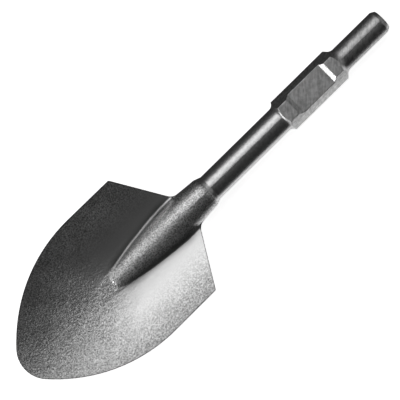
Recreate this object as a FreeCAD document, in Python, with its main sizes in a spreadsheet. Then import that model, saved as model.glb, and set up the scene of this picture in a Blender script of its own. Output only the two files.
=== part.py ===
import FreeCAD, Part
import math
import os
import re
import Sketcher

# A hex shank clay spade for a demolition hammer, forged and turned from one bar.
# The origin is the centre of the striking face. X runs along the tool from that face to the tip,
# and Z points out of the hollow side of the blade. Lengths are in mm.

# Sizes that are set by themselves
DRIVING = (
    # Turned nose and striking face
    ("face_diameter", 20.0),
    ("nose_diameter", 24.2),
    ("nose_bevel_length", 3.8),
    ("nose_length", 55.2),
    ("nose_root_radius", 7.5),
    # Hexagon and the retainer notch milled across its front flat
    ("hex_across_flats", 30.0),
    ("hex_bevel_length", 4.7),
    ("hex_length", 71.8),
    ("hex_root_length", 5.6),
    ("notch_depth", 4.4),
    ("notch_from_nose", 17.4),
    ("notch_floor_length", 39.0),
    ("notch_front_run", 3.8),
    ("notch_rear_run", 4.9),
    ("notch_root_radius", 1.2),
    # Round shaft and the forged neck below its step
    ("shaft_diameter", 26.8),
    ("shaft_length", 94.5),
    ("step_length", 6.9),
    ("neck_diameter", 31.8),
    ("neck_length", 23.6),
    ("neck_blend_radius", 120.0),
    # Ridge that carries the neck into the blade and sinks into both of its faces
    ("ridge_growth", 4.0),
    ("ridge_level_length", 12.5),
    ("ridge_bend_radius", 40.0),
    ("ridge_slope_length", 75.0),
    ("ridge_nose_height", 2.2),
    ("ridge_fillet_radius", 3.5),
    # Outline of the blade
    ("root_half_width", 16.6),
    ("root_inset", 0.5),
    ("root_radius", 10.0),
    ("corner_radius", 2.0),
    ("shoulder_drop", 31.6),
    ("shoulder_inset", 0.4),
    ("blade_half_width", 70.3),
    ("side_length", 52.4),
    ("tip_length", 125.2),
    ("tip_radius", 28.0),
    # Dish and thickness of the plate
    ("dish_radius", 135.0),
    ("plate_front_height", 3.2),
    ("plate_thickness", 6.5),
    ("plate_edge_thickness", 4.2),
    ("edge_bevel_depth", 2.2),
    ("edge_bevel_width", 5.0),
    # Room left around what a cut takes away, and beside a fillet that fills its wall
    ("cut_margin", 8.0),
    ("fillet_room", 0.3),
)

# Places and radii that follow from those sizes
DERIVED = (
    ("face_radius", "face_diameter / 2"),
    ("nose_radius", "nose_diameter / 2"),
    ("hex_half_flats", "hex_across_flats / 2"),
    ("hex_corner_radius", "hex_across_flats / sqrt(3)"),
    ("hex_half_side", "hex_corner_radius / 2"),
    ("hex_full_start", "nose_length + hex_bevel_length"),
    ("hex_end", "nose_length + hex_length"),
    # The bevel's root is rounded as far as the flats leave room for it
    ("hex_bevel_rise", "hex_corner_radius - nose_radius"),
    ("hex_bevel_slant", "sqrt(hex_bevel_length ^ 2 + hex_bevel_rise ^ 2)"),
    ("nose_root_limit", "(hex_half_flats - nose_radius) / (1 - hex_bevel_length / hex_bevel_slant)"),
    ("nose_root_fit", "min(nose_root_radius; nose_root_limit - fillet_room)"),
    ("shaft_start", "hex_end + hex_root_length"),
    ("hex_cutter_radius", "hex_corner_radius + cut_margin"),
    ("hex_cutter_length", "shaft_start - nose_length"),
    ("shaft_radius", "shaft_diameter / 2"),
    ("hex_root_rise", "hex_corner_radius - shaft_radius"),
    ("hex_root_radius", "(hex_root_length ^ 2 + hex_root_rise ^ 2) / (2 * hex_root_rise)"),
    ("notch_floor_height", "hex_half_flats - notch_depth"),
    ("notch_floor_start", "nose_length + notch_from_nose"),
    ("notch_floor_end", "notch_floor_start + notch_floor_length"),
    ("notch_start", "notch_floor_start - notch_front_run"),
    ("notch_end", "notch_floor_end + notch_rear_run"),
    ("notch_top", "hex_half_flats + cut_margin"),
    ("notch_cutter_width", "2 * hex_cutter_radius"),
    ("step_start", "hex_end + shaft_length"),
    ("neck_start", "step_start + step_length"),
    ("neck_end", "neck_start + neck_length"),
    ("neck_radius", "neck_diameter / 2"),
    ("ridge_radius", "(neck_diameter + ridge_growth) / 2"),
    # The blend ends as far from the corner along the neck as along the ridge
    ("neck_slope", "(ridge_radius - neck_radius) / neck_length"),
    ("neck_rake", "sqrt(1 + neck_slope ^ 2)"),
    ("blend_reach", "neck_blend_radius * (neck_rake - 1) / neck_slope"),
    ("blend_start", "neck_end - blend_reach / neck_rake"),
    ("blend_start_radius", "ridge_radius - blend_reach * neck_slope / neck_rake"),
    ("ridge_start", "neck_end + blend_reach"),
    # On each side the crest bends and runs straight down, until it stands out by the height of its nose
    ("crest_start", "neck_end + ridge_level_length"),
    ("front_crest_drop", "ridge_radius - plate_front_height - ridge_nose_height"),
    ("front_crest_lift", "ridge_bend_radius - front_crest_drop"),
    ("front_crest_reach", "sqrt(ridge_slope_length ^ 2 + front_crest_lift ^ 2)"),
    ("front_crest_angle", "asin(ridge_bend_radius / front_crest_reach)"
                          " - atan(front_crest_lift / ridge_slope_length)"),
    ("front_crest_run", "sqrt(front_crest_reach ^ 2 - ridge_bend_radius ^ 2)"),
    ("back_crest_drop", "ridge_radius + plate_front_height - plate_thickness - ridge_nose_height"),
    ("back_crest_lift", "ridge_bend_radius - back_crest_drop"),
    ("back_crest_reach", "sqrt(ridge_slope_length ^ 2 + back_crest_lift ^ 2)"),
    ("back_crest_angle", "asin(ridge_bend_radius / back_crest_reach)"
                         " - atan(back_crest_lift / ridge_slope_length)"),
    ("back_crest_run", "sqrt(back_crest_reach ^ 2 - ridge_bend_radius ^ 2)"),
    ("ridge_nose_centre", "crest_start + ridge_slope_length"),
    ("ridge_end", "ridge_nose_centre + ridge_radius"),
    ("ridge_trim_end", "ridge_end + cut_margin"),
    ("ridge_trim_depth", "ridge_radius + front_crest_drop + back_crest_drop + cut_margin"),
    # The side arc of the blade runs into the round tip in the same way
    ("shoulder_corner", "neck_end + shoulder_drop"),
    ("side_end", "shoulder_corner + side_length"),
    ("tip_end", "side_end + tip_length"),
    ("tip_centre", "tip_end - tip_radius"),
    ("side_run", "tip_centre - side_end"),
    ("side_arc_radius", "(side_run ^ 2 + blade_half_width ^ 2 - tip_radius ^ 2)"
                        " / (2 * (blade_half_width - tip_radius))"),
    ("side_arc_gap", "side_arc_radius - tip_radius"),
    ("tip_join", "tip_centre + tip_radius * side_run / side_arc_gap"),
    ("tip_join_width", "tip_radius * (side_arc_radius - blade_half_width) / side_arc_gap"),
    # The shoulders run on into the neck, so that the plate grows out of it
    ("shoulder_half_width", "blade_half_width - shoulder_inset"),
    ("shoulder_rake", "shoulder_drop / (shoulder_half_width - root_half_width)"),
    ("shoulder_stretch", "sqrt(1 + shoulder_rake ^ 2)"),
    ("buried_half_width", "root_half_width / 2"),
    ("buried_start", "neck_end - (root_half_width - buried_half_width) * shoulder_rake"),
    # A web rounds each corner between shoulder and neck with an arc that ends inside the neck
    ("web_side", "ridge_radius - root_inset"),
    ("web_width", "web_side + root_radius * (1 - shoulder_rake / shoulder_stretch)"),
    ("web_end", "neck_end + (web_width - root_half_width) * shoulder_rake"),
    ("web_start", "web_end - root_radius / shoulder_stretch"),
    ("web_bottom", "plate_front_height - plate_edge_thickness"),
    # Section of the slab that the blade is trimmed from
    ("slab_start", "buried_start - cut_margin"),
    ("slab_end", "tip_end + cut_margin"),
    ("slab_length", "slab_end - slab_start"),
    ("slab_half_width", "blade_half_width + cut_margin"),
    ("front_rise", "dish_radius - sqrt(dish_radius ^ 2 - slab_half_width ^ 2)"),
    ("back_rise", "front_rise + plate_thickness - plate_edge_thickness"),
    ("back_radius", "(slab_half_width ^ 2 + back_rise ^ 2) / (2 * back_rise)"),
    ("front_edge_height", "plate_front_height + front_rise"),
    ("back_edge_height", "front_edge_height - plate_edge_thickness"),
    ("trim_start", "slab_start - cut_margin"),
    ("trim_end", "slab_end + cut_margin"),
    ("trim_half_width", "slab_half_width + cut_margin"),
    ("trim_depth", "2 * (front_edge_height + cut_margin)"),
)

ON_AXIS = "0"
TOUCH = 0.01

# Features that add steel, beside the turned and swept ones
ADDING = ("DishedPlate", "BarJoin", "FrontBlend", "RootWebs", "NoseRoot", "NotchRoots")


def make_sheet(document):
    sheet = document.addObject("Spreadsheet::Sheet", "Sizes")
    for row, (alias, content) in enumerate(DRIVING + DERIVED, start=1):
        text = str(content) if isinstance(content, float) else "=" + content
        sheet.set("A%d" % row, alias.replace("_", " "))
        sheet.set("B%d" % row, text)
        sheet.setAlias("B%d" % row, alias)
    document.recompute()
    return sheet


def bound(sizes):
    """Turn names of sizes into an expression on the sheet."""
    return re.sub(r"[a-z]\w*", r"Sizes.\g<0>", sizes)


def origin_plane(body, role):
    return next(item for item in body.Origin.OriginFeatures if item.Role == role)


def new_sketch(body, name, role, **places):
    """Add a sketch on an origin plane of the body, moved along its own axes by named distances."""
    sketch = body.newObject("Sketcher::SketchObject", name)
    sketch.AttachmentSupport = [(origin_plane(body, role), "")]
    sketch.MapMode = "FlatFace"
    for axis, place in places.items():
        sketch.setExpression("AttachmentOffset.Base.%s" % axis, bound(place))
    return sketch


def measured(sketch, sizes):
    return 0.0 if sizes == ON_AXIS else float(sketch.evalExpression(bound(sizes)))


def hold_point(sketch, item, end, across, up):
    """Hold one end of a line or arc at two named distances from the sketch's origin."""
    for kind, axis, sizes in (("DistanceX", -2, across), ("DistanceY", -1, up)):
        if sizes == ON_AXIS:
            sketch.addConstraint(Sketcher.Constraint("PointOnObject", item, end, axis))
            continue
        where = measured(sketch, sizes)
        number = sketch.addConstraint(Sketcher.Constraint(kind, -1, 1, item, end, where))
        sketch.setExpression("Constraints[%d]" % number, bound(sizes))


def add_arc(sketch, start, end, radius, turn):
    """Add the shorter arc from start to end. Return the arc's numbers for those two ends."""
    chord = end - start
    half = chord.Length / 2
    rise = math.sqrt(max(radius ** 2 - half ** 2, 0.0))
    left = FreeCAD.Vector(-chord.y, chord.x, 0).normalize()
    centre = (start + end) / 2 + left * rise * turn
    first, last = (start, end) if turn > 0 else (end, start)
    angles = [math.atan2(spot.y - centre.y, spot.x - centre.x) for spot in (first, last)]
    circle = Part.Circle(centre, FreeCAD.Vector(0, 0, 1), radius)
    sketch.addGeometry(Part.ArcOfCircle(circle, angles[0], angles[1]))
    return (1, 2) if turn > 0 else (2, 1)


def closed_outline(sketch, corners, arcs=None):
    """Draw a closed outline through corners that are held by their sizes.

    The side after corner n is straight, or an arc where arcs[n] gives its radius and its turn,
    1 for anticlockwise and -1 for clockwise.
    """
    arcs = arcs or {}
    spots = [FreeCAD.Vector(measured(sketch, x), measured(sketch, y), 0) for x, y in corners]
    first = sketch.GeometryCount
    ends = []
    for number, start in enumerate(spots):
        end = spots[(number + 1) % len(spots)]
        if number not in arcs:
            sketch.addGeometry(Part.LineSegment(start, end))
            ends.append((1, 2))
            continue
        radius, turn = arcs[number]
        ends.append(add_arc(sketch, start, end, measured(sketch, radius), turn))
    for number, (across, up) in enumerate(corners):
        before = (number - 1) % len(corners)
        hold_point(sketch, first + number, ends[number][0], across, up)
        sketch.addConstraint(Sketcher.Constraint(
            "Coincident", first + before, ends[before][1], first + number, ends[number][0]))
    for number, (radius, turn) in arcs.items():
        reach = measured(sketch, radius)
        index = sketch.addConstraint(Sketcher.Constraint("Radius", first + number, reach))
        sketch.setExpression("Constraints[%d]" % index, bound(radius))


def add_circle(sketch, radius, height=ON_AXIS):
    """Draw a circle about the sketch's origin, or a named distance above it."""
    centre = FreeCAD.Vector(0, measured(sketch, height), 0)
    item = sketch.addGeometry(Part.Circle(centre, FreeCAD.Vector(0, 0, 1), measured(sketch, radius)))
    hold_point(sketch, item, 3, ON_AXIS, height)
    index = sketch.addConstraint(Sketcher.Constraint("Radius", item, measured(sketch, radius)))
    sketch.setExpression("Constraints[%d]" % index, bound(radius))


def add_plate(body):
    """The dished slab that the blade is trimmed from, a crescent in section."""
    sketch = new_sketch(body, "PlateSection", "YZ_Plane", z="slab_start")
    closed_outline(sketch, (
        ("-slab_half_width", "front_edge_height"),
        ("slab_half_width", "front_edge_height"),
        ("slab_half_width", "back_edge_height"),
        ("-slab_half_width", "back_edge_height"),
    ), {0: ("dish_radius", 1), 2: ("back_radius", -1)})
    plate = body.newObject("PartDesign::Pad", "DishedPlate")
    plate.Profile = sketch
    plate.setExpression("Length", bound("slab_length"))
    return plate


def trim_plate(body):
    """Cut the slab to the outline of the blade: swept shoulders, straight sides and round tip."""
    sketch = new_sketch(body, "BladeOutline", "XY_Plane")
    closed_outline(sketch, (
        ("trim_start", "-trim_half_width"),
        ("trim_end", "-trim_half_width"),
        ("trim_end", "trim_half_width"),
        ("trim_start", "trim_half_width"),
    ))
    closed_outline(sketch, (
        ("buried_start", "-buried_half_width"),
        ("shoulder_corner", "-shoulder_half_width"),
        ("side_end", "-blade_half_width"),
        ("tip_join", "-tip_join_width"),
        ("tip_join", "tip_join_width"),
        ("side_end", "blade_half_width"),
        ("shoulder_corner", "shoulder_half_width"),
        ("buried_start", "buried_half_width"),
    ), {2: ("side_arc_radius", 1), 3: ("tip_radius", 1), 4: ("side_arc_radius", 1)})
    trim = body.newObject("PartDesign::Pocket", "BladeTrim")
    trim.Profile = sketch
    trim.SideType = "Symmetric"
    trim.setExpression("Length", bound("trim_depth"))
    return trim


def add_shank(body):
    """The bar that is round about the tool's axis, from the striking face into the blade."""
    sketch = new_sketch(body, "ShankProfile", "XZ_Plane")
    closed_outline(sketch, (
        (ON_AXIS, ON_AXIS),
        ("crest_start", ON_AXIS),
        ("crest_start", "ridge_radius"),
        ("ridge_start", "ridge_radius"),
        ("blend_start", "blend_start_radius"),
        ("neck_start", "neck_radius"),
        ("step_start", "shaft_radius"),
        ("shaft_start", "shaft_radius"),
        ("hex_end", "hex_corner_radius"),
        ("hex_full_start", "hex_corner_radius"),
        ("nose_length", "nose_radius"),
        ("nose_bevel_length", "nose_radius"),
        (ON_AXIS, "face_radius"),
    ), {
        3: ("neck_blend_radius", 1),
        7: ("hex_root_radius", -1),
    })
    shank = body.newObject("PartDesign::Revolution", "Shank")
    shank.Profile = sketch
    shank.ReferenceAxis = (sketch, ["H_Axis"])
    shank.Angle = 360
    return shank


def mirrored(sizes, side):
    """Turn a height over the tool's axis into one below it on the back."""
    return sizes if side > 0 else "-(%s)" % sizes


def sweep_crest(body, side, crest):
    """Bend the bar's section down, run it on straight to a round nose, and keep its own half."""
    angle = crest + "_angle"
    section = new_sketch(body, body.Name + "Section", "YZ_Plane",
                         y=mirrored("-ridge_bend_radius", side), z="crest_start")
    add_circle(section, "ridge_radius", mirrored("ridge_bend_radius", side))
    bend = body.newObject("PartDesign::Revolution", body.Name + "Bend")
    bend.Profile = section
    bend.ReferenceAxis = (section, ["H_Axis"])
    bend.Reversed = side < 0
    bend.setExpression("Angle", bound(angle))
    body.Document.recompute()

    profile = new_sketch(body, body.Name + "RunProfile", "XZ_Plane",
                         x="ridge_nose_centre", y=mirrored("-%s_drop" % crest, side))
    profile.setExpression("AttachmentOffset.Rotation.Angle", bound(mirrored("-" + angle, side)))
    body.Document.recompute()
    closed_outline(profile, (
        ("-%s_run" % crest, ON_AXIS),
        ("ridge_radius", ON_AXIS),
        (ON_AXIS, mirrored("ridge_radius", side)),
        ("-%s_run" % crest, mirrored("ridge_radius", side)),
    ), {1: ("ridge_radius", side)})
    run = body.newObject("PartDesign::Revolution", body.Name + "Run")
    run.Profile = profile
    run.ReferenceAxis = (profile, ["H_Axis"])
    run.Angle = 360
    body.Document.recompute()

    far_half = new_sketch(body, body.Name + "TrimProfile", "XZ_Plane")
    closed_outline(far_half, (
        ("slab_start", ON_AXIS),
        ("ridge_trim_end", ON_AXIS),
        ("ridge_trim_end", mirrored("-ridge_trim_depth", side)),
        ("slab_start", mirrored("-ridge_trim_depth", side)),
    ))
    trim = body.newObject("PartDesign::Pocket", body.Name + "Trim")
    trim.Profile = far_half
    trim.SideType = "Symmetric"
    trim.setExpression("Length", bound("2 * ridge_trim_depth"))
    body.Document.recompute()


def join_bar(body, bodies):
    """Fuse the bar and both sides of the ridge with the blade."""
    join = body.newObject("PartDesign::Boolean", "BarJoin")
    join.Type = "Fuse"
    join.addObjects(bodies)
    body.Document.recompute()
    return join


def round_corners(body, size):
    """Round the two corners where the shoulders meet the sides."""
    place, width = size("shoulder_corner"), size("shoulder_half_width")

    def corner(edge):
        box = edge.BoundBox
        return same(box.XMin, place) and same(box.XMax, place) and same(max(box.YMax, -box.YMin), width)

    return dress(body, "PartDesign::Fillet", "ShoulderCorners", corner, Radius="corner_radius")


def cut_hexagon(body):
    """Mill six flats on the turned blank, so that the turned bevel leaves arcs on them."""
    sketch = new_sketch(body, "HexOutline", "YZ_Plane", z="shaft_start")
    add_circle(sketch, "hex_cutter_radius")
    closed_outline(sketch, (
        ("hex_corner_radius", ON_AXIS),
        ("hex_half_side", "hex_half_flats"),
        ("-hex_half_side", "hex_half_flats"),
        ("-hex_corner_radius", ON_AXIS),
        ("-hex_half_side", "-hex_half_flats"),
        ("hex_half_side", "-hex_half_flats"),
    ))
    flats = body.newObject("PartDesign::Pocket", "HexFlats")
    flats.Profile = sketch
    flats.setExpression("Length", bound("hex_cutter_length"))
    return flats


def cut_notch(body):
    """Mill the retainer notch with its two sloped ends straight across the front flat."""
    sketch = new_sketch(body, "NotchProfile", "XZ_Plane")
    closed_outline(sketch, (
        ("notch_floor_start", "notch_floor_height"),
        ("notch_floor_end", "notch_floor_height"),
        ("notch_end", "hex_half_flats"),
        ("notch_end", "notch_top"),
        ("notch_start", "notch_top"),
        ("notch_start", "hex_half_flats"),
    ))
    notch = body.newObject("PartDesign::Pocket", "RetainerNotch")
    notch.Profile = sketch
    notch.SideType = "Symmetric"
    notch.setExpression("Length", bound("notch_cutter_width"))
    return notch


def middle(edge):
    return edge.valueAt((edge.FirstParameter + edge.LastParameter) / 2)


def same(one, other):
    return abs(one - other) < TOUCH


def is_dish_face(face, radius):
    """Whether a face is the hollow front or the round back of the plate."""
    surface = face.Surface
    return (surface.TypeId == "Part::GeomCylinder" and same(surface.Radius, radius)
            and same(abs(surface.Axis.x), 1))


def rim_edges(shape, dish_radius):
    """Edges all round the front or the back of the plate."""
    return [edge for face in shape.Faces if is_dish_face(face, dish_radius) for edge in face.Edges]


def dress(body, kind, name, test, edges=None, **settings):
    """Round or bevel those edges of the body's last feature that pass the test."""
    base = body.Tip
    shape = base.Shape
    chosen = [number for number, edge in enumerate(shape.Edges, start=1)
              if (edges is None or any(edge.isSame(rim) for rim in edges)) and test(edge)]
    if not chosen:
        raise RuntimeError("%s finds no edge" % name)
    feature = body.newObject(kind, name)
    feature.Base = (base, ["Edge%d" % number for number in chosen])
    for setting, sizes in settings.items():
        feature.setExpression(setting, bound(sizes))
    body.Document.recompute()
    return feature


def bevel_cutting_edge(body, size):
    """Thin the sides and the tip from the back, as a digging edge is ground."""
    corner = size("shoulder_corner")

    def below_shoulders(edge):
        return middle(edge).x > corner + TOUCH

    bevel = dress(body, "PartDesign::Chamfer", "CuttingBevel", below_shoulders,
                  rim_edges(body.Tip.Shape, size("back_radius")),
                  Size="edge_bevel_depth", Size2="edge_bevel_width")
    bevel.ChamferType = "Two distances"
    return bevel


def blend_ridge(body, size):
    """Run the front of the ridge into the hollow of the plate with a fillet."""
    reach = size("ridge_radius") + TOUCH
    start, end = size("buried_start"), size("ridge_end")

    def beside_ridge(edge):
        spot = middle(edge)
        return start < spot.x < end and math.hypot(spot.y, spot.z) < reach

    return dress(body, "PartDesign::Fillet", "FrontBlend", beside_ridge,
                 rim_edges(body.Tip.Shape, size("dish_radius")), Radius="ridge_fillet_radius")


def add_webs(body):
    """Fill the two corners between shoulders and neck behind an arc, as the forging does."""
    sketch = new_sketch(body, "WebOutline", "XY_Plane", z="web_bottom")
    for side, turn in (("-", 1), ("", -1)):
        closed_outline(sketch, (
            ("web_end", side + "buried_half_width"),
            ("web_end", side + "web_width"),
            ("web_start", side + "web_side"),
            ("web_start", side + "buried_half_width"),
        ), {1: ("root_radius", turn)})
    webs = body.newObject("PartDesign::Pad", "RootWebs")
    webs.Profile = sketch
    webs.setExpression("Length", bound("plate_edge_thickness"))
    return webs


def round_nose_root(body, size):
    """Round the ring where the turned bevel of the hexagon starts."""
    place, radius = size("nose_length"), size("nose_radius")

    def ring(edge):
        box = edge.BoundBox
        return same(box.XMin, place) and same(box.XMax, place) and same(box.ZMax, radius)

    return dress(body, "PartDesign::Fillet", "NoseRoot", ring, Radius="nose_root_fit")


def round_notch_roots(body, size):
    """Round the two lines where the ends of the notch meet its floor."""
    places = (size("notch_floor_start"), size("notch_floor_end"))
    floor = size("notch_floor_height")

    def root(edge):
        box = edge.BoundBox
        across = any(same(box.XMin, place) and same(box.XMax, place) for place in places)
        return across and same(box.ZMin, floor) and same(box.ZMax, floor)

    return dress(body, "PartDesign::Fillet", "NotchRoots", root, Radius="notch_root_radius")


def build_chisel(document):
    """Forge the blade and ridge, then turn and mill the shank."""
    def size(name):
        return float(document.Sizes.get(name))

    bar = document.addObject("PartDesign::Body", "Bar")
    add_shank(bar)
    front = document.addObject("PartDesign::Body", "FrontRidge")
    sweep_crest(front, 1, "front_crest")
    back = document.addObject("PartDesign::Body", "BackRidge")
    sweep_crest(back, -1, "back_crest")

    body = document.addObject("PartDesign::Body", "SpadeChisel")
    body.Label = "spade_chisel"
    add_plate(body)
    trim_plate(body)
    document.recompute()
    bevel_cutting_edge(body, size)
    round_corners(body, size)
    join_bar(body, (bar, front, back))
    blend_ridge(body, size)
    add_webs(body)
    cut_hexagon(body)
    document.recompute()
    round_nose_root(body, size)
    cut_notch(body)
    document.recompute()
    round_notch_roots(body, size)
    body.Placement = FreeCAD.Placement()
    return body


def check_cuts(body):
    """Each feature changes the volume in its own direction, so that no cut points away."""
    volume = 0.0
    for feature in body.Group:
        if feature.isDerivedFrom("Sketcher::SketchObject"):
            continue
        change = feature.Shape.Volume - volume
        adds = feature.Name in ADDING or feature.isDerivedFrom("PartDesign::Revolution")
        if (change > 0) != adds:
            raise RuntimeError("%s changed the volume by %.0f" % (feature.Name, change))
        volume = feature.Shape.Volume


def check_document(document):
    """Stop before anything is written if a feature failed."""
    for item in document.Objects:
        faults = [state for state in item.State if state in ("Invalid", "Error")]
        if faults:
            raise RuntimeError("%s is %s" % (item.Name, ", ".join(faults)))
    for body in document.findObjects("PartDesign::Body"):
        if body.Shape.isNull() or not body.Shape.isValid():
            raise RuntimeError("%s has no sound solid" % body.Label)


def main():
    document = FreeCAD.newDocument("ClaySpade")
    make_sheet(document)
    body = build_chisel(document)
    document.recompute()
    check_document(document)
    for part in document.findObjects("PartDesign::Body"):
        check_cuts(part)
    os.makedirs("parts", exist_ok=True)
    body.Shape.exportStep("parts/%s.step" % body.Label)
    print("%s: %.0f cubic mm" % (body.Label, body.Shape.Volume))


main()
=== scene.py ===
import math

import bpy
from mathutils import Matrix, Vector


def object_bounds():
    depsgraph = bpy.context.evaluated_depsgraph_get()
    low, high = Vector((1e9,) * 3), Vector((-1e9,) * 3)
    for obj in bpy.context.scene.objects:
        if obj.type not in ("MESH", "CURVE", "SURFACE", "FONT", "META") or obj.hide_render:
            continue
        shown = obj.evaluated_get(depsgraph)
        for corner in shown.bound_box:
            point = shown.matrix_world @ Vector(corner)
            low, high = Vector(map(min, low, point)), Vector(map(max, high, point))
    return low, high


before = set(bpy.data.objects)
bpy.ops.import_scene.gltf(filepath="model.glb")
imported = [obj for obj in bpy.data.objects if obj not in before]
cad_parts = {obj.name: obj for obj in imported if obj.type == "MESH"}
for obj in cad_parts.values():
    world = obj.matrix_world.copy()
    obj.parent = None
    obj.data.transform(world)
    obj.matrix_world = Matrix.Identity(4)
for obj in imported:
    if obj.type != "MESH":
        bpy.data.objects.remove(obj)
cad_low, cad_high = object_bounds()

# Places along the tool from the striking face, in metres
NOSE_BORDER = (0.0522, 0.0562)
HEX_BORDER = (0.1270, 0.1326)
FORGING_BORDER = (0.2247, 0.2263)
TIP_GRIT = (0.325, 0.385)
# Painted shade: the blade darkens between these places towards the tip
TIP_PAINTED_SHADE = (0.34, 0.45)
# Painted shade: the corner at the foot of the ridge is darkened between these places
PAINTED_CORNER_SHADE_START = (0.250, 0.270)
PAINTED_CORNER_SHADE_END = (0.330, 0.350)

# Side of the ridge from the middle plane, and the finishes beside it
RIDGE_SIDE = 0.0185
RIDGE_TAPER = 0.115
RIDGE_TAPER_START = 0.270
RIDGE_BORDER = (-0.003, 0.001)
SIDE_GRIT = (0.022, 0.062)
# Painted shade: how far from the foot of the ridge its corner is darkened
PAINTED_CORNER_SHADE_REACH = 0.008

# Edges: the rounding that catches light, and the wider rim darkened with painted shade
EDGE_ROUNDING = 0.0011
PAINTED_RIM_SHADE_WIDTH = 0.0020
PAINTED_RIM_SHADE_TURN = (0.86, 0.99)
EDGE_SAMPLES = 6

# Colours, roughness and relief of the finishes, from the low to the high side of their noise
NOISE_SPAN = (0.3, 0.7)
GRIT_GREY = (0.28, 0.86)
FINE_GREY = 0.64
MARK_GREY = (0.35, 0.70)
SATIN_GREY = (0.50, 0.66)
# Painted shade: the share of the grey left at the tip
TIP_PAINTED_SHADE_GREY = 0.64
NOSE_GREY_SHARE = 0.86
# Painted shade: how much the ridge's corner and the blade's rim are darkened
PAINTED_CORNER_SHADE_DARKNESS = 0.6
PAINTED_RIM_SHADE_DARKNESS = 0.88
GRIT_ROUGHNESS = (0.39, 0.45)
FINE_ROUGHNESS = 0.34
NOSE_ROUGHNESS = 0.43
HEX_ROUGHNESS = 0.41
SHAFT_ROUGHNESS = 0.36
FINE_RELIEF = 0.15
TURNED_RELIEF = 0.35
RELIEF_DEPTH = 0.0008
RELIEF_STRENGTH = 0.6
RING_SCALE = (1.0, 0.06, 0.06)
MARK_SLANT = (0.0, 0.0, math.radians(-45))
MARK_STRETCH = (1.0, 6.0, 1.0)

# Camera: straight above the hollow side, with the shank towards the upper right
PHOTO_PIXELS = 400
FOCAL_PIXELS = 1570
CAMERA_HEIGHT = 1.450
CAMERA_PLACE = (0.2365, 0.0013)
AXIS_IN_PICTURE = math.radians(44.51)
SENSOR_WIDTH = 36.0
CAMERA_REACH = 100.0

# Studio: each lamp's way is its lean from straight up, across to the left and along to the tip
FLOOR_SIZE = 30.0
FLOOR_GREY = (0.8, 0.8, 0.8, 1.0)
FLOOR_GLOW = 0.88
BRIGHT_STRIP_START = (0.0, 0.045)
BRIGHT_STRIP_END = (0.055, 0.090)
STRIP_GLOW = (0.03, 1.25)
ROOM_GLOW = 0.025
LAMP_DISTANCE = 1.3
SOFTBOX_LEAN = (33, 0)
SOFTBOX_SIZE = (1.6, 1.0)
SOFTBOX_GLOW = 1.55
SHANK_PANEL_LEAN = (0, -60)
SHANK_PANEL_SIZE = (1.3, 1.4)
SHANK_PANEL_GLOW = 0.28
TIP_PANEL_LEAN = (0, 76)
TIP_PANEL_SIZE = (0.5, 0.5)
TIP_PANEL_GLOW = 10.0

WHITE = (1.0, 1.0, 1.0, 1.0)


# Shader building

class Shader:
    """Adds nodes to a tree and wires them, so that a finish reads from its first texture to its surface."""

    def __init__(self, tree):
        self.tree = tree

    def node(self, kind, settings=None, **inputs):
        """Add a node. Settings are its own properties, and inputs are values or sockets to wire in."""
        made = self.tree.nodes.new(kind)
        for name, value in (settings or {}).items():
            setattr(made, name, value)
        for name, value in inputs.items():
            self.feed(made.inputs[name.replace("_", " ")], value)
        return made

    def feed(self, socket, value):
        if isinstance(value, bpy.types.NodeSocket):
            self.tree.links.new(value, socket)
        else:
            socket.default_value = value

    def sums(self, operation, *values):
        made = self.tree.nodes.new("ShaderNodeMath")
        made.operation = operation
        for socket, value in zip(made.inputs, values):
            self.feed(socket, value)
        return made.outputs[0]

    def between(self, value, low, high, start=0.0, end=1.0):
        """Ease from start to end while the value goes from low to high."""
        made = self.node("ShaderNodeMapRange", {"interpolation_type": "SMOOTHSTEP"})
        for name, given in (("Value", value), ("From Min", low), ("From Max", high),
                            ("To Min", start), ("To Max", end)):
            self.feed(made.inputs[name], given)
        return made.outputs[0]

    def mix(self, share, first, second):
        """Go evenly from the first value at 0 to the second at 1."""
        made = self.node("ShaderNodeMix", {"data_type": "FLOAT"})
        for number, value in zip((0, 2, 3), (share, first, second)):
            self.feed(made.inputs[number], value)
        return made.outputs[0]

    def noise(self, place, scale, detail=2.0, roughness=0.5):
        made = self.node("ShaderNodeTexNoise", Vector=place, Scale=scale, Detail=detail, Roughness=roughness)
        return made.outputs[0]

    def choose(self, share, first, second):
        """Mix two surfaces, from the first at 0 to the second at 1."""
        made = self.tree.nodes.new("ShaderNodeMixShader")
        for socket, value in zip(made.inputs, (share, first, second)):
            self.feed(socket, value)
        return made.outputs[0]

    def edge_normal(self, radius):
        """The surface's direction as if its edges were rounded to a radius."""
        return self.node("ShaderNodeBevel", {"samples": EDGE_SAMPLES}, Radius=radius).outputs[0]

    def grey(self, value):
        made = self.node("ShaderNodeCombineColor", Red=value, Green=value, Blue=value)
        return made.outputs[0]


def new_material(name):
    material = bpy.data.materials.new(name)
    material.use_nodes = True
    material.node_tree.nodes.clear()
    return material, Shader(material.node_tree)


def new_group(name, inputs, outputs):
    """An empty finish with its named inputs, each with its usual value, and its named outputs."""
    group = bpy.data.node_groups.new(name, "ShaderNodeTree")
    for socket, kind, value in inputs:
        made = group.interface.new_socket(socket, in_out="INPUT", socket_type=kind)
        if value is not None:
            made.default_value = value
    for socket in outputs:
        group.interface.new_socket(socket, in_out="OUTPUT", socket_type="NodeSocketFloat")
    shader = Shader(group)
    return group, shader, shader.node("NodeGroupInput").outputs, shader.node("NodeGroupOutput").inputs


def place_group(shader, group, **inputs):
    return shader.node("ShaderNodeGroup", {"node_tree": group}, **inputs).outputs


# Finishes of the steel

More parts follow.
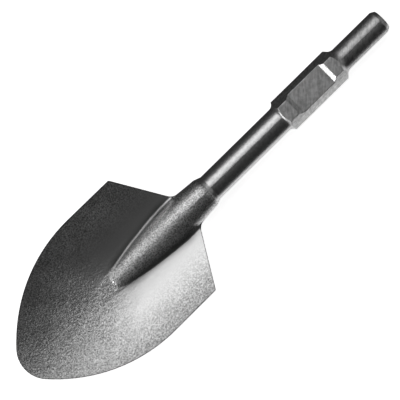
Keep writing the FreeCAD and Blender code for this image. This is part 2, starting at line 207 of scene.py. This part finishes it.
def blasted_scale():
    """Forged skin after shot blasting: fine sharp grit over shallow, wider unevenness."""
    group, shader, given, out = new_group("blasted_scale", (
        ("Place", "NodeSocketVector", None),
        ("Grit Scale", "NodeSocketFloat", 700.0),
        ("Pit Share", "NodeSocketFloat", 0.55),
        ("Wave Scale", "NodeSocketFloat", 110.0),
        ("Cloud Scale", "NodeSocketFloat", 45.0),
        ("Grit Relief", "NodeSocketFloat", 0.6),
        ("Pit Relief", "NodeSocketFloat", 0.35),
        ("Wave Relief", "NodeSocketFloat", 0.8),
    ), ("Height", "Grit", "Clouds"))
    grit = shader.noise(given["Place"], given["Grit Scale"], 3.0, 0.65)
    pit_scale = shader.sums("MULTIPLY", given["Grit Scale"], given["Pit Share"])
    pits = shader.node("ShaderNodeTexVoronoi", Vector=given["Place"], Scale=pit_scale).outputs["Distance"]
    waves = shader.noise(given["Place"], given["Wave Scale"], 2.0)
    clouds = shader.noise(given["Place"], given["Cloud Scale"], 4.0, 0.6)
    height = shader.sums("ADD", shader.sums("MULTIPLY", grit, given["Grit Relief"]),
                         shader.sums("MULTIPLY", pits, given["Pit Relief"]))
    wave_height = shader.sums("MULTIPLY", waves, given["Wave Relief"])
    shader.feed(out["Height"], shader.sums("ADD", height, wave_height))
    shader.feed(out["Grit"], grit)
    shader.feed(out["Clouds"], clouds)
    return group


def turned_lines():
    """Fine rings that the lathe leaves round the axis, a little uneven along it."""
    group, shader, given, out = new_group("turned_lines", (
        ("Place", "NodeSocketVector", None),
        ("Pitch Scale", "NodeSocketFloat", 900.0),
        ("Satin Scale", "NodeSocketFloat", 420.0),
    ), ("Height", "Satin"))
    stretched = shader.node("ShaderNodeMapping", Vector=given["Place"], Scale=RING_SCALE).outputs[0]
    rings = shader.noise(stretched, given["Pitch Scale"], 2.0)
    satin = shader.noise(given["Place"], given["Satin Scale"], 3.0, 0.6)
    shader.feed(out["Height"], shader.mix(0.5, rings, satin))
    shader.feed(out["Satin"], satin)
    return group


def ground_marks():
    """Faint slanting marks of a grinding wheel among a soft mottle."""
    group, shader, given, out = new_group("ground_marks", (
        ("Place", "NodeSocketVector", None),
        ("Mark Scale", "NodeSocketFloat", 600.0),
        ("Mottle Scale", "NodeSocketFloat", 260.0),
    ), ("Marks",))
    slanted = shader.node("ShaderNodeMapping", {"vector_type": "TEXTURE"}, Vector=given["Place"],
                          Rotation=MARK_SLANT, Scale=MARK_STRETCH).outputs[0]
    marks = shader.noise(slanted, given["Mark Scale"], 2.0)
    mottle = shader.noise(given["Place"], given["Mottle Scale"], 4.0, 0.65)
    shader.feed(out["Marks"], shader.mix(0.5, marks, mottle))
    return group


def chisel_steel():
    """One steel in four finishes: turned nose, milled hexagon, turned shaft, and blasted forging, with
    painted shade towards the tip, in the ridge's corner and on the blade's rim.
    """
    material, shader = new_material("chisel_steel")
    place = shader.node("ShaderNodeTexCoord").outputs["Object"]
    spot = shader.node("ShaderNodeSeparateXYZ", Vector=place).outputs
    along, across = spot["X"], shader.sums("ABSOLUTE", spot["Y"])
    forged = place_group(shader, blasted_scale(), Place=place)
    turned = place_group(shader, turned_lines(), Place=place)
    ground = place_group(shader, ground_marks(), Place=place)
    past_nose = shader.between(along, *NOSE_BORDER)
    past_hexagon = shader.between(along, *HEX_BORDER)
    is_forged = shader.between(along, *FORGING_BORDER)

    # The blasting is coarse on the ridge, the sides and the tip, and fine beside the ridge
    past_neck = shader.sums("MAXIMUM", shader.sums("SUBTRACT", along, RIDGE_TAPER_START), 0.0)
    ridge_side = shader.sums("SUBTRACT", RIDGE_SIDE, shader.sums("MULTIPLY", past_neck, RIDGE_TAPER))
    off_ridge = shader.sums("SUBTRACT", across, ridge_side)
    outwards = shader.between(across, *SIDE_GRIT)
    downwards = shader.between(along, *TIP_GRIT)
    inner = shader.sums("SUBTRACT", 1.0, shader.sums("MAXIMUM", outwards, downwards))
    fine = shader.sums("MULTIPLY", shader.between(off_ridge, *RIDGE_BORDER), inner)

    # Painted shade: the corner at the foot of the ridge and the rim of the blade are darkened
    painted_shade_along_ridge = shader.sums("SUBTRACT", shader.between(along, *PAINTED_CORNER_SHADE_START),
                              shader.between(along, *PAINTED_CORNER_SHADE_END))
    painted_corner_shade = shader.between(shader.sums("ABSOLUTE", off_ridge), 0.0, PAINTED_CORNER_SHADE_REACH,
                               PAINTED_CORNER_SHADE_DARKNESS, 0.0)
    turn = shader.node("ShaderNodeVectorMath", {"operation": "DOT_PRODUCT"})
    shader.feed(turn.inputs[0], shader.edge_normal(PAINTED_RIM_SHADE_WIDTH))
    shader.feed(turn.inputs[1], shader.node("ShaderNodeNewGeometry").outputs["Normal"])
    # Painted shade: the rim, where the surface turns from the rounded edge, is darkened
    painted_rim_shade = shader.between(turn.outputs["Value"], *PAINTED_RIM_SHADE_TURN, PAINTED_RIM_SHADE_DARKNESS, 0.0)
    painted_shade = shader.sums("MAXIMUM", shader.sums("MULTIPLY", painted_corner_shade, painted_shade_along_ridge), painted_rim_shade)

    turned_height = shader.sums("MULTIPLY", turned["Height"], TURNED_RELIEF)
    forged_height = shader.sums("MULTIPLY", forged["Height"], shader.mix(fine, 1.0, FINE_RELIEF))
    height = shader.mix(is_forged, turned_height, forged_height)
    bump = shader.node("ShaderNodeBump", Height=height, Distance=RELIEF_DEPTH, Strength=RELIEF_STRENGTH,
                       Normal=shader.edge_normal(EDGE_ROUNDING))

    forged_grey = shader.mix(fine, shader.between(forged["Grit"], *NOISE_SPAN, *GRIT_GREY), FINE_GREY)
    # Painted shade: the forged grey darkens towards the tip
    painted_tip_shade = shader.between(along, *TIP_PAINTED_SHADE, 1.0, TIP_PAINTED_SHADE_GREY)
    forged_grey = shader.sums("MULTIPLY", forged_grey, painted_tip_shade)
    # The painted shade of the ridge's corner and the rim darkens the forged grey
    forged_grey = shader.sums("MULTIPLY", forged_grey, shader.sums("SUBTRACT", 1.0, painted_shade))
    ground_grey = shader.between(ground["Marks"], *NOISE_SPAN, *MARK_GREY)
    ground_grey = shader.sums("MULTIPLY", ground_grey, shader.mix(past_nose, NOSE_GREY_SHARE, 1.0))
    turned_grey = shader.between(turned["Satin"], *NOISE_SPAN, *SATIN_GREY)
    colour = shader.mix(is_forged, shader.mix(past_hexagon, ground_grey, turned_grey), forged_grey)

    ground_rough = shader.mix(past_nose, NOSE_ROUGHNESS, HEX_ROUGHNESS)
    bare_rough = shader.mix(past_hexagon, ground_rough, SHAFT_ROUGHNESS)
    grit_rough = shader.between(forged["Clouds"], *NOISE_SPAN, *GRIT_ROUGHNESS)
    rough = shader.mix(is_forged, bare_rough, shader.mix(fine, grit_rough, FINE_ROUGHNESS))
    surface = shader.node("ShaderNodeBsdfPrincipled", Base_Color=shader.grey(colour), Metallic=1.0,
                          Roughness=rough, Normal=bump.outputs[0])
    shader.node("ShaderNodeOutputMaterial", Surface=surface.outputs[0])
    return material


# Studio

def floor_material():
    """White to the camera. In the steel it shows as a white strip to the right of the tool, dim elsewhere."""
    material, shader = new_material("studio_floor")
    path = shader.node("ShaderNodeLightPath").outputs
    across = shader.node("ShaderNodeSeparateXYZ",
                         Vector=shader.node("ShaderNodeTexCoord").outputs["Object"]).outputs["Y"]
    strip = shader.sums("SUBTRACT", shader.between(across, *BRIGHT_STRIP_START),
                        shader.between(across, *BRIGHT_STRIP_END))
    seen_in_steel = shader.between(strip, 0.0, 1.0, *STRIP_GLOW)
    diffuse = shader.node("ShaderNodeBsdfDiffuse", Color=FLOOR_GREY).outputs[0]
    white = shader.node("ShaderNodeEmission", Color=WHITE, Strength=FLOOR_GLOW).outputs[0]
    lit = shader.node("ShaderNodeAddShader")
    shader.feed(lit.inputs[0], diffuse)
    shader.feed(lit.inputs[1], white)
    mirrored = shader.node("ShaderNodeEmission", Color=WHITE, Strength=seen_in_steel).outputs[0]
    to_camera = shader.choose(path["Is Camera Ray"], diffuse, lit.outputs[0])
    to_steel = shader.choose(path["Is Glossy Ray"], to_camera, mirrored)
    shader.node("ShaderNodeOutputMaterial", Surface=to_steel)
    return material


def add_floor():
    bpy.ops.mesh.primitive_plane_add(size=FLOOR_SIZE, location=(0, 0, cad_low.z))
    floor = bpy.context.object
    floor.name = "studio_floor"
    floor.data.materials.append(floor_material())


def add_world():
    """White to the camera, and a dim room in the steel."""
    world = bpy.data.worlds.new("studio")
    world.use_nodes = True
    world.node_tree.nodes.clear()
    shader = Shader(world.node_tree)
    path = shader.node("ShaderNodeLightPath").outputs
    to_camera = shader.node("ShaderNodeBackground", Color=WHITE, Strength=1.0).outputs[0]
    dim = shader.node("ShaderNodeBackground", Color=WHITE, Strength=ROOM_GLOW).outputs[0]
    shader.node("ShaderNodeOutputWorld", Surface=shader.choose(path["Is Camera Ray"], dim, to_camera))
    bpy.context.scene.world = world


def add_panel(name, lean, size, glow):
    """A flat lamp that leans from straight up, so many degrees to the left and towards the tip."""
    lamp = bpy.data.lights.new(name, "AREA")
    lamp.shape = "RECTANGLE"
    lamp.size, lamp.size_y = size
    lamp.energy = glow * math.pi * size[0] * size[1]
    holder = bpy.data.objects.new(name, lamp)
    bpy.context.scene.collection.objects.link(holder)
    left, on = (math.radians(angle) for angle in lean)
    turn = Matrix.Rotation(left, 4, "X") @ Matrix.Rotation(on, 4, "Y")
    middle = Vector((CAMERA_PLACE[0], 0, 0))
    holder.matrix_world = Matrix.Translation(middle) @ turn @ Matrix.Translation((0, 0, LAMP_DISTANCE))


def add_camera():
    camera = bpy.data.cameras.new("photo_camera")
    camera.sensor_width = SENSOR_WIDTH
    camera.lens = FOCAL_PIXELS / PHOTO_PIXELS * SENSOR_WIDTH
    camera.clip_end = CAMERA_REACH
    holder = bpy.data.objects.new("photo_camera", camera)
    bpy.context.scene.collection.objects.link(holder)
    # Seen from above, the direction from the tip to the shank is turned to its place in the picture
    roll = math.pi - AXIS_IN_PICTURE
    right = Vector((math.cos(roll), math.sin(roll), 0))
    up = Vector((-math.sin(roll), math.cos(roll), 0))
    turn = Matrix((right, up, Vector((0, 0, 1)))).transposed()
    spot = Vector((*CAMERA_PLACE, CAMERA_HEIGHT))
    holder.matrix_world = Matrix.Translation(spot) @ turn.to_4x4()
    bpy.context.scene.camera = holder


def finish_steel():
    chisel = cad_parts["spade_chisel"]
    chisel.material_slots[0].link = "OBJECT"
    chisel.material_slots[0].material = chisel_steel()


add_camera()
add_floor()
add_world()
add_panel("left_softbox", SOFTBOX_LEAN, SOFTBOX_SIZE, SOFTBOX_GLOW)
add_panel("shank_panel", SHANK_PANEL_LEAN, SHANK_PANEL_SIZE, SHANK_PANEL_GLOW)
add_panel("tip_panel", TIP_PANEL_LEAN, TIP_PANEL_SIZE, TIP_PANEL_GLOW)
finish_steel()
bpy.context.scene.view_settings.view_transform = "Standard"
